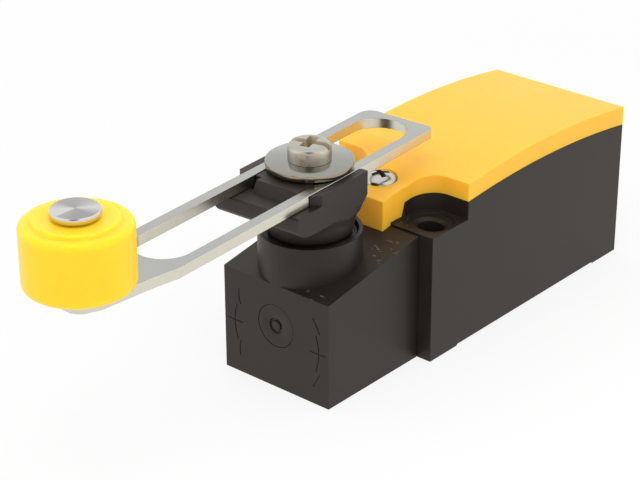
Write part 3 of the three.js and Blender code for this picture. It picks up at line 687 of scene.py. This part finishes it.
def slot_outline(side, grow=0.0):
    half = (SLOT_LENGTH - SLOT_WIDTH) / 2
    radius = SLOT_WIDTH / 2 + grow
    centre = side * SLOT_Y
    return arc(0, centre + half, radius, 0, 180, 20) + arc(0, centre - half, radius, 180, 360, 20)


def mounting_cuts(side):
    """The notch, the slot through its floor, the dish round the slot and the slot's wider mouth."""
    dish_radius, dish_depth = NOTCH_DISH
    return [
        prism(notch_outline(side), NOTCH_FLOOR, CLEAR),
        prism(slot_outline(side), -1, NOTCH_FLOOR + 1),
        post(dish_radius, NOTCH_FLOOR - dish_depth, NOTCH_FLOOR + 1, (0, side * SLOT_Y)),
        tapered(slot_outline(side), slot_outline(side, SLOT_RIM), NOTCH_FLOOR - 0.9, NOTCH_FLOOR - 0.3),
    ]


def threaded_entry():
    mouth = ENTRY_RADIUS + 1.0
    x = BODY_END - ENTRY_CHAMFER
    profile = [(0, BODY_END + 1), (mouth, BODY_END + 1), (mouth, BODY_END), (ENTRY_RADIUS, x)]
    while x > CHAMBER[1] + THREAD_PITCH:
        profile += [
            (ENTRY_RADIUS, x - 0.35),
            (ENTRY_RADIUS + THREAD_DEPTH, x - 0.8),
            (ENTRY_RADIUS, x - 1.25),
        ]
        x -= THREAD_PITCH
    profile += [(ENTRY_RADIUS, CHAMBER[1] - 1), (0, CHAMBER[1] - 1)]
    return turned(profile, (0, ENTRY_Z), 96, "X")


def make_housing():
    outline = [
        (BODY_START, 0),
        (BACK_PADS[0], 0),
        (BACK_PADS[0] + BACK_RELIEF, BACK_RELIEF),
        (BACK_PADS[1] - BACK_RELIEF, BACK_RELIEF),
        (BACK_PADS[1], 0),
        (BODY_END, 0),
        *arched(joint_z, BODY_END, BODY_START),
    ]
    piece = prism(outline, -BODY_HALF, BODY_HALF, "Y")
    foot, head = TONGUE_STEP
    before = BODY_START - 1
    seat = [(before, TONGUE_SEAT), (foot, TONGUE_SEAT), (head, joint_z(head)), (head, CLEAR), (before, CLEAR)]
    tools = [
        prism(seat, -20, 20, "Y"),
        block(*CHAMBER, -BODY_HALF + WALL, BODY_HALF - WALL, WALL, CLEAR),
        post(POCKET_RADIUS, before, POCKET_END, (0, AXIS_Z), 64, "X"),
        post(PLUNGER_BORES[1], -3, CHAMBER[0] + 1, (0, AXIS_Z), 48, "X"),
    ]
    for side in (-1, 1):
        tools += mounting_cuts(side)
    piece = cut(piece, *tools)
    piece = cut(piece, threaded_entry())
    return bevelled(cleaned(piece), 0.22)


def head_top(x):
    """The head's sloping top."""
    slope = (HEAD_EDGE_HIGH - HEAD_EDGE_LOW) / (BODY_START - HEAD_LOW_BOX.x)
    return HEAD_EDGE_LOW + slope * (x - HEAD_LOW_BOX.x)


def make_cover():
    seam = COVER_SEAM
    over_head = 0.1
    foot, head = TONGUE_STEP
    side_view = arched(joint_z, head, BODY_END, seam) + arched(top_z, BODY_END, head, 0, 80)
    band = prism(side_view, -BODY_HALF, BODY_HALF, "Y")
    end = COVER_START
    tongue = prism(
        [
            (end, head_top(end) + over_head),
            (BODY_START - HEAD_GAP, head_top(BODY_START) + over_head),
            (BODY_START - HEAD_GAP, TONGUE_SEAT + seam),
            (foot - 0.1, TONGUE_SEAT + seam),
            (head - 0.1, joint_z(head) + seam),
            (head + 1, joint_z(head + 1) + seam),
            *arched(top_z, head + 1, end, 0, 16),
        ],
        -TONGUE_HALF, TONGUE_HALF, "Y",
    )
    piece = joined(band, tongue)
    piece = cut(piece, prism(notch_outline(1), 20, CLEAR), prism(notch_outline(-1), 20, CLEAR))
    piece = bevelled(cleaned(piece), 0.42, 4, 40)
    screw = (COVER_SCREW_LOW + COVER_SCREW_HIGH) / 2
    floor, gap = COVER_SCREW_POCKET
    pocket = post(COVER_SCREW_HIGH.x - screw.x + gap, floor, CLEAR, (screw.x, screw.y), 96)
    return bevelled(cleaned(cut(piece, pocket), 0.001), 0.06, 2, 60)


# ---------------------------------------------------------------- head

def line_on_end_face(points, width, depth):
    """A groove of constant width along (Y, Z) points on the head's end face."""
    x = HEAD_LOW_BOX.x
    left, right = [], []
    for i, (y, z) in enumerate(points):
        y0, z0 = points[max(i - 1, 0)]
        y1, z1 = points[min(i + 1, len(points) - 1)]
        length = math.hypot(y1 - y0, z1 - z0)
        dy, dz = (z0 - z1) / length * width / 2, (y1 - y0) / length * width / 2
        left.append((y + dy, z + dz))
        right.append((y - dy, z - dz))
    return prism(left + right[::-1], x - 1, x + depth, "X")


def head_marks():
    """The index marks on the end face, as thin grooves: arcs, short curves and level ticks."""
    middle = 10.3
    width, depth = 0.24, 0.12
    lines = [
        arc(0, middle, 10.1, -21, 21, 14),
        arc(0, middle, 11.1, 21.5, 38, 8),
        arc(0, middle, 11.1, -38, -21.5, 8),
        arc(0, middle, 9.9, 159, 201, 14),
        [(-8.73, 17.18), (-8.85, 16.2), (-8.8, 15.1), (-8.47, 13.95)],
        [(-8.73, 3.42), (-8.85, 4.4), (-8.8, 5.5), (-8.47, 6.65)],
        [(8.0, 10.4), (11.6, 10.4)],
        [(-11.6, 10.4), (-8.0, 10.4)],
    ]
    return [line_on_end_face([(-y, z) for y, z in line], width, depth) for line in lines]


def make_head():
    x0 = HEAD_LOW_BOX.x
    x1 = BODY_START - HEAD_GAP
    half = HEAD_HIGH_BOX.y
    shaft, plunger = (SHAFT.x, 0), (0, AXIS_Z)
    chamber_radius, chamber_floor, chamber_top = CAM_CHAMBER
    side = [(x0, 0), (x1, 0), (x1, HEAD_EDGE_HIGH), (x0, HEAD_EDGE_LOW)]
    boss = post(BOSS_RADIUS + 0.02, 10, HEAD_HIGH_BOX.z, shaft, 128)
    spigot = post(SPIGOT_RADIUS, BODY_START - 1, SPIGOT_END, plunger, 64, "X")
    piece = joined(prism(side, -half, half, "Y"), boss, spigot)
    piece = cut(
        piece,
        block(x0 - 5, x0, -20, 20, -5, CLEAR + 10),
        post(BOSS_BORE, BOSS_FLOOR, CLEAR, shaft, 128),
        post(BUSH_BORE, chamber_top - 1, CLEAR, shaft, 64),
        post(chamber_radius, chamber_floor, chamber_top, shaft, 64),
        post(PIVOT_BORE, 2, chamber_floor + 1, shaft, 48),
        post(FLANGE_BORE, SHAFT.x + 5, SPRING_SEAT, plunger, 64, "X"),
        post(PLUNGER_BORES[0], SPRING_SEAT - 1, 0, plunger, 48, "X"),
        post(PLUG_RADIUS + 0.04, x0 - 1, x0 + 1.5, plunger, 96, "X"),
        *head_marks(),
    )
    return bevelled(cleaned(piece), 0.16)


def make_head_plug():
    x0 = HEAD_LOW_BOX.x
    radius = PLUG_RADIUS
    profile = [
        (0, x0 - 0.05), (0.75, x0 - 0.05), (0.95, x0 + 0.08), (1.0, x0 + 0.4), (1.45, x0 + 0.4),
        (1.55, x0 + 0.08), (1.75, x0 + 0.02), (radius - 0.12, x0 + 0.02), (radius, x0 + 0.12),
        (radius, x0 + 1.3), (0, x0 + 1.3),
    ]
    return bevelled(turned(profile, (0, AXIS_Z), 96, "X"), 0.04, 2)


# ---------------------------------------------------------------- shaft seal and lever

def make_shaft_seal():
    centre = (SHAFT.x, SHAFT.y)
    outer, inner = SEAL_HIGH.x - SHAFT.x, 7.45
    low, high = SEAL_LOW.z, SEAL_HIGH.z - 0.08
    rounding = 0.5
    profile = [
        (inner, low), (outer, low), (outer, high - rounding),
        *arc(outer - rounding, high - rounding, rounding, 0, 90, 5),
        (8.0, high), (7.85, high - 0.25), (7.6, high - 0.25), (inner, high - 0.05),
    ]
    return smooth(turned(profile, centre, 128))


def arm_outline():
    far_corner, near_corner = 2.4, 1.3
    start = ARM_TAPER_START
    bend = [(0, ARM_HALF), (-2.8, 6.65), (-8, 5.94)]   # a smooth curve from the side into the taper
    near = []
    for i in range(1, 13):
        t = i / 12
        weights = ((1 - t) ** 2, 2 * t * (1 - t), t * t)
        x, y = (sum(weight * point[axis] for weight, point in zip(weights, bend)) for axis in (0, 1))
        near.append((start + x, y))
    far = [(x, -y) for x, y in reversed(near)]
    lean = math.degrees(0.14)
    return [
        (start, -ARM_HALF),
        *arc(ARM_TAIL - near_corner, -ARM_HALF + near_corner, near_corner, -90, 0, 12),
        *arc(ARM_TAIL - far_corner, ARM_HALF - far_corner, far_corner, 0, 90, 12),
        (start, ARM_HALF),
        *near,
        *arc(ARM_END[0], 0, ARM_END[1], 90 + lean, 270 - lean, 40),
        *far,
    ]


def arm_slot():
    tail = arc(ARM_SLOT[1] - ARM_SLOT_HALF, 0, ARM_SLOT_HALF, -90, 90, 32)
    front = arc(ARM_SLOT[0] + ARM_SLOT_HALF, 0, ARM_SLOT_HALF, 90, 270, 32)
    return tail + front


def make_arm():
    piece = prism(arm_outline(), ARM_LOW.z, ARM_HIGH.z)
    pin_hole = post(2.1, ARM_LOW.z - 1, ARM_HIGH.z + 1, (ROLLER_U, 0))
    piece = cut(piece, prism(arm_slot(), ARM_LOW.z - 1, ARM_HIGH.z + 1), pin_hole)
    return turned_with_lever(bevelled(cleaned(piece), 0.13, 2))


def holder_neck(low):
    """Round, and widening towards the lever, with its back cut flat."""
    neck = turned([
        (0, low), (7.0, low), (7.25, low + 0.2), (7.25, 28.3), (7.8, 29), (7.95, 30.2), (8.3, 31.5),
        (8.65, 32.4), (9.1, 33.1), (9.6, 34.3), (10.3, PLATE_BOTTOM), (0, PLATE_BOTTOM),
    ], sides=128)
    return kept(neck, block(-12, HOLDER_TAIL, -HOLDER_HALF, HOLDER_HALF, low - 1, SHELF))


def holder_plate():
    """The plate under the lever, with a rounded chin at the roller end."""
    chin = [
        (5, 0), (4.2, 0.01), (3.4, 0.07), (2.6, 0.19), (1.9, 0.37),
        (1.2, 0.68), (0.6, 1.12), (0.2, 1.55), (0, 1.95),
    ]
    side_view = [
        (1, NOSE_BOTTOM), *[(HOLDER_NOSE + x, NOSE_BOTTOM + z) for x, z in chin],
        (HOLDER_NOSE, SHELF - 0.3), (HOLDER_NOSE + 0.3, SHELF), (HOLDER_TAIL, SHELF),
        (HOLDER_TAIL, PLATE_BOTTOM - 0.1), (1, PLATE_BOTTOM - 0.1),
    ]
    return prism(side_view, -HOLDER_HALF, HOLDER_HALF, "Y")


def holder_wall(side, top):
    inside, outside = side * WALL_INSIDE, side * HOLDER_HALF
    outline = [
        (WALL_FRONT[0], inside), (HOLDER_TAIL, inside), (HOLDER_TAIL, outside), (WALL_FRONT[1], outside),
    ]
    return prism(outline, SHELF - 1, top)


def holder_guide(top):
    """The block that stands in the lever's slot, sloping at its roller end."""
    corner, front = GUIDE_CORNER, GUIDE_FRONT
    outline = [
        (front, -GUIDE_HALF), (GUIDE_TAIL - corner, -GUIDE_HALF), (GUIDE_TAIL, -GUIDE_HALF + corner),
        (GUIDE_TAIL, GUIDE_HALF - corner), (GUIDE_TAIL - corner, GUIDE_HALF), (GUIDE_NOTCH[0], GUIDE_HALF),
        GUIDE_NOTCH, (front, GUIDE_NOTCH[1]),
    ]
    slope = [
        (front - 1, SHELF), (front, SHELF), (front + GUIDE_SLOPE, top), (front + GUIDE_SLOPE, top + 1),
        (front - 1, top + 1),
    ]
    return cut(prism(outline, SHELF - 1, top), prism(slope, -10, 10, "Y"))


def make_holder():
    low, top = HOLDER_LOW.z, HOLDER_HIGH.z
    walls = [holder_wall(side, top) for side in (-1, 1)]
    piece = joined(holder_neck(low), holder_plate(), *walls, holder_guide(top))
    piece = cut(
        piece,
        block(WALL_FRONT[0], GUIDE_NOTCH[0], GUIDE_NOTCH[1], ARM_SLOT_HALF, SHELF - 0.8, SHELF + 1),
        post(SHAFT_BORE, low - 1, 34.7),
        post(CLAMP_BORE, 30, 45),
    )
    return turned_with_lever(bevelled(cleaned(piece), 0.22))


def make_clamp_washer():
    radius = WASHER_HIGH.y
    low, high = WASHER_LOW.z, WASHER_HIGH.z
    hole = 2.7
    profile = [
        (hole, low), (radius - 0.5, low), (radius - 0.28, low + 0.08), (radius - 0.1, low + 0.28),
        (radius, low + 0.55), (radius, high - 0.22), (radius - 0.06, high - 0.07), (radius - 0.2, high),
        (hole, high),
    ]
    nick = Vector((-0.8, -0.6)) * (radius + 0.35)
    piece = cut(turned(profile, (0, 0), 160), post(1.0, low - 1, low + 0.8, nick, 24))
    return turned_with_lever(smooth(cleaned(piece, 0.001), 28))


# ---------------------------------------------------------------- screws

def turned_outline(half_x, half_y, turn, centre=(0, 0)):
    """A rectangle turned about its centre."""
    c, s = math.cos(turn), math.sin(turn)
    corners = [(-half_x, -half_y), (half_x, -half_y), (half_x, half_y), (-half_x, half_y)]
    return [(centre[0] + x * c - y * s, centre[1] + x * s + y * c) for x, y in corners]


def slot_cut(half_x, half_y, grow_x, grow_y, depth, top, turn, centre=(0, 0)):
    """A slot for a screw's head that widens towards its mouth."""
    return tapered(
        turned_outline(half_x, half_y, turn, centre),
        turned_outline(half_x + grow_x, half_y + grow_y, turn, centre),
        top - depth, top + 0.1,
    )


def recessed_head(profile, centre, cuts, radius, surface, recess_painted_light):
    """A screw with slots in its head. What lies below the head's own surface is recess, and takes the second
    material, painted shade or a painted reflection.
    """
    piece = cut(turned(profile, centre, 96), *cuts)
    piece = bevelled(cleaned(piece, 0.001), 0.12, 3, 40)
    # The second material is painted light: painted shade or a painted reflection in the recess.
    piece.data.materials.append(recess_painted_light)
    for face in piece.data.polygons:
        at = face.center / MM
        away = math.hypot(at.x - centre[0], at.y - centre[1])
        if away < radius - 0.1 and 0.09 < surface(away) - at.z < 2.4:
            face.material_index = 1
    return piece


def make_clamp_screw():
    """A cheese head with rounded edges, slotted right across and once more across the middle."""
    low, top = CLAMP_SCREW_LOW.z, CLAMP_SCREW_HIGH.z
    seat = WASHER_HIGH.z + 0.01
    radius, rounding, shank = 3.9, 1.1, 2.4
    profile = [
        (0, low), (2.0, low), (shank, low + 0.8), (shank, seat),
        (radius - 0.05, seat), (radius, seat + 0.05),
        *arc(radius - rounding, top - rounding, rounding, 0, 84, 10), (0, top + 0.02),
    ]

    def surface(away):
        past = min(max(0, away - radius + rounding), rounding)
        return top - rounding + math.sqrt(rounding ** 2 - past ** 2)

    cuts = [
        slot_cut(0.5, 6, 0.25, 0, 1.2, top, RECESS_TURN),
        slot_cut(1.9, 0.6, 0.5, 0.35, 1.8, top, RECESS_TURN),
    ]
    return turned_with_lever(recessed_head(profile, (0, 0), cuts, radius, surface, NICKEL_RECESS_PAINTED_REFLECTION))


def make_cover_screw():
    """A domed head with a cross recess."""
    centre = ((COVER_SCREW_LOW + COVER_SCREW_HIGH) / 2).xy
    low, top = COVER_SCREW_LOW.z, COVER_SCREW_HIGH.z
    rise, edge, shank = 2.7, 1.1, 1.5
    seat = top - rise
    radius = COVER_SCREW_HIGH.x - centre.x
    dome = []
    for degrees in range(0, 89, 8):
        angle = math.radians(degrees)
        dome.append((radius * math.cos(angle), seat + edge + (rise - edge) * math.sin(angle)))
    profile = [(0, low), (shank, low + 0.6), (shank, seat), (radius, seat), *dome, (0, top)]

    def surface(away):
        return seat + edge + (rise - edge) * math.sqrt(max(0, 1 - (away / radius) ** 2))

    reach, half, grow, depth = 1.6, 0.36, 0.15, 1.9
    cuts = [
        slot_cut(reach, half, grow, grow, depth, top, COVER_RECESS_TURN, centre),
        slot_cut(half, reach, grow, grow, depth, top, COVER_RECESS_TURN, centre),
    ]
    return recessed_head(profile, centre, cuts, radius, surface, CHROME_RECESS_PAINTED_SHADE)


# ---------------------------------------------------------------- roller and its pin

def make_roller():
    radius = (ROLLER_HIGH.x - ROLLER_LOW.x) / 2
    low, high = ROLLER_LOW.z, ROLLER_HIGH.z
    rim = high - 0.6
    edge, bore = 1.1, 2.15
    profile = [
        (bore, low), (6.4, low), (6.6, low + 0.08), (6.68, low + 0.3),
        *arc(radius - edge, low + 0.3 + edge, edge, -90, 0, 10),
        *arc(radius - edge, rim - edge, edge, 0, 90, 10),
        (7.45, rim), *arc(7.3, rim + 0.25, 0.25, -90, -165, 4),
        *arc(6.55, high - 0.45, 0.45, 20, 90, 6), (6.1, high), (5.2, high - 0.06), (bore, high - 0.06),
    ]
    return smooth(turned(profile, (ROLLER.x, ROLLER.y), 160), 50)


def make_roller_pin():
    low, top = PIN_LOW.z, PIN_HIGH.z
    seat = top - 1.4
    under = ARM_LOW.z - 0.1
    foot, shank = 3.2, 2.0
    profile = [
        (0, low), (2.3, low), (2.9, low + 0.25), (foot, low + 0.65), (foot, under),
        (shank, under), (shank, seat),
        (3.45, seat), (3.75, seat + 0.1), (3.95, seat + 0.3), (4.06, seat + 0.6), (4.08, seat + 0.85),
        (4.06, seat + 1.08), (4.0, seat + 1.26), (3.9, seat + 1.37), (3.78, top), (0, top),
    ]
    return smooth(turned(profile, (ROLLER.x, ROLLER.y), 128), 30)


def make_roller_washer():
    low, high = (corner.z for corner in node_box("roller_washer"))
    bore, radius, edge = 2.1, 3.4, 0.1
    profile = [
        (bore, low), (radius - edge, low), (radius, low + edge),
        (radius, high - edge), (radius - edge, high), (bore, high),
    ]
    return smooth(turned(profile, (ROLLER.x, ROLLER.y), 64))


# ---------------------------------------------------------------- springs

def make_spring(name, wire, turns):
    """A round-wire spring along X in the place of the CAD node of that name."""
    low, high = node_box(name)
    mean = (high.z - low.z) / 2 - wire
    centre = (low.z + high.z) / 2
    steps, sides = turns * 32, 12
    points = []
    for i in range(steps + 1):
        turn = TAU * turns * i / steps
        x = low.x + wire + (high.x - low.x - 2 * wire) * i / steps
        for k in range(sides):
            around = TAU * k / sides
            radius = mean + wire * math.cos(around)
            along = x + wire * math.sin(around)
            points.append((along, radius * math.cos(turn), centre + radius * math.sin(turn)))
    faces = [tuple(range(sides)), tuple(range(len(points) - 1, len(points) - 1 - sides, -1))]
    for i in range(steps):
        for k in range(sides):
            a, b = i * sides + k, i * sides + (k + 1) % sides
            faces.append((a, a + sides, b + sides, b))
    return smooth(new_object(name, mesh_from(name, points, faces)), 60)


def add_spring(name, wire, turns, body):
    """A spring carried by a moving body."""
    piece = finished(make_spring(name, wire, turns), name + "_coil", STEEL, body, "steel", name)
    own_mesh(piece)


# ---------------------------------------------------------------- light and camera

def make_floor():
    half = FLOOR_HALF
    corners = [(-half, -half, 0), (half, -half, 0), (half, half, 0), (-half, half, 0)]
    floor = new_object("floor", mesh_from("floor", corners, [(0, 1, 2, 3)]))
    paper = Material("paper", (0.9, 0.9, 0.9), 0.9)
    paper.set("Specular IOR Level", 0.0)
    paper.drive("Base Color", paper.ramp(paper.noise(3, 2.0), (0.3, 0.15), (0.7, 0.17)))
    paper.set("Emission Color", (1, 1, 1, 1)).set("Emission Strength", 0.8)
    floor.data.materials.append(paper.material)


def make_soft_box():
    """A lamp above, a little towards the camera, that the metals do not mirror."""
    box = bpy.data.lights.new("soft_box", "AREA")
    box.shape = "SQUARE"
    box.size = 0.3
    box.energy = 0.75
    lamp = bpy.data.objects.new("soft_box", box)
    lamp.location = (-0.2, -0.17, 0.45)
    lamp.rotation_euler = (Vector((0, 0, 0.03)) - lamp.location).to_track_quat("-Z", "Y").to_euler()
    lamp.visible_glossy = False
    bpy.context.scene.collection.objects.link(lamp)


def make_light_tent():
    """A white tent with a dim patch above the opening where the camera looks in."""
    world = bpy.data.worlds.new("studio")
    bpy.context.scene.world = world
    world.use_nodes = True
    nodes, links = world.node_tree.nodes, world.node_tree.links
    view = nodes.new("ShaderNodeTexCoord")
    patch = nodes.new("ShaderNodeVectorMath")
    patch.operation = "DOT_PRODUCT"
    links.new(view.outputs["Generated"], patch.inputs[0])
    patch.inputs[1].default_value = Vector((CAMERA_AT.x, CAMERA_AT.y, 225)).normalized()
    tone = nodes.new("ShaderNodeValToRGB")
    tone.color_ramp.elements[0].position = 0.91
    tone.color_ramp.elements[0].color = (1, 1, 1, 1)
    tone.color_ramp.elements[1].position = 0.97
    tone.color_ramp.elements[1].color = (0.2, 0.19, 0.18, 1)
    links.new(patch.outputs["Value"], tone.inputs["Fac"])
    background = nodes["Background"]
    links.new(tone.outputs["Color"], background.inputs["Color"])
    background.inputs["Strength"].default_value = 1.14


def make_camera():
    azimuth, elevation, roll = (math.radians(angle) for angle in CAMERA_ANGLES)
    level = math.cos(elevation)
    forward = Vector((math.sin(azimuth) * level, math.cos(azimuth) * level, -math.sin(elevation)))
    right = Vector((math.cos(azimuth), -math.sin(azimuth), 0))
    up = right.cross(forward)
    c, s = math.cos(roll), math.sin(roll)
    right, up = c * right + s * up, c * up - s * right
    rotation = Matrix((right, up, -forward)).transposed()
    data = bpy.data.cameras.new("camera")
    data.lens = CAMERA_LENS
    data.sensor_width = 36
    data.clip_start = 0.01
    data.clip_end = 10
    camera = bpy.data.objects.new("camera", data)
    bpy.context.scene.collection.objects.link(camera)
    camera.matrix_world = Matrix.Translation(CAMERA_AT * MM) @ rotation.to_4x4()
    bpy.context.scene.camera = camera


# ---------------------------------------------------------------- run

make_camera()
make_floor()
make_soft_box()
make_light_tent()
dress_cad_nodes()
finished(make_housing(), "housing_shell", HOUSING_BLACK, "switch_body", "housing_black", "housing")
finished(make_cover(), "cover_shell", YELLOW, "switch_body", "cover_yellow", "cover")
finished(make_head(), "head_casting", HEAD_BLACK, "switch_body", "housing_black", "head")
finished(make_head_plug(), "head_face_plug", BLACK, "switch_body", "housing_black", "head_plug")
finished(make_cover_screw(), "cover_screw_bright", CHROME, "switch_body", "nickel", "cover_screw")
finished(make_shaft_seal(), "shaft_lip_seal", RUBBER, "switch_body", "rubber", "shaft_seal")
finished(make_holder(), "holder_casting", BLACK, "lever_hub", "housing_black", "lever_holder")
finished(make_clamp_washer(), "clamp_washer_bright", WASHER_METAL, "lever_hub", "nickel", "clamp_washer")
finished(make_clamp_screw(), "clamp_screw_bright", NICKEL, "lever_hub", "nickel", "clamp_screw")
finished(make_arm(), "arm_plated", ARM_STEEL, "lever", "plated_steel", "lever_arm")
finished(make_roller_pin(), "roller_pin_turned", PIN_STEEL, "lever", "steel", "roller_pin")
finished(make_roller_washer(), "roller_washer_round", STEEL, "lever", "nickel", "roller_washer")
add_spring("plunger_spring", 0.3, 4, "plunger")
add_spring("carrier_spring", 0.25, 4, "contact_slide")
finished(make_roller(), "roller_moulded", ROLLER_YELLOW, "roller", "roller_yellow", "roller")

bpy.context.scene.view_settings.view_transform = "Standard"
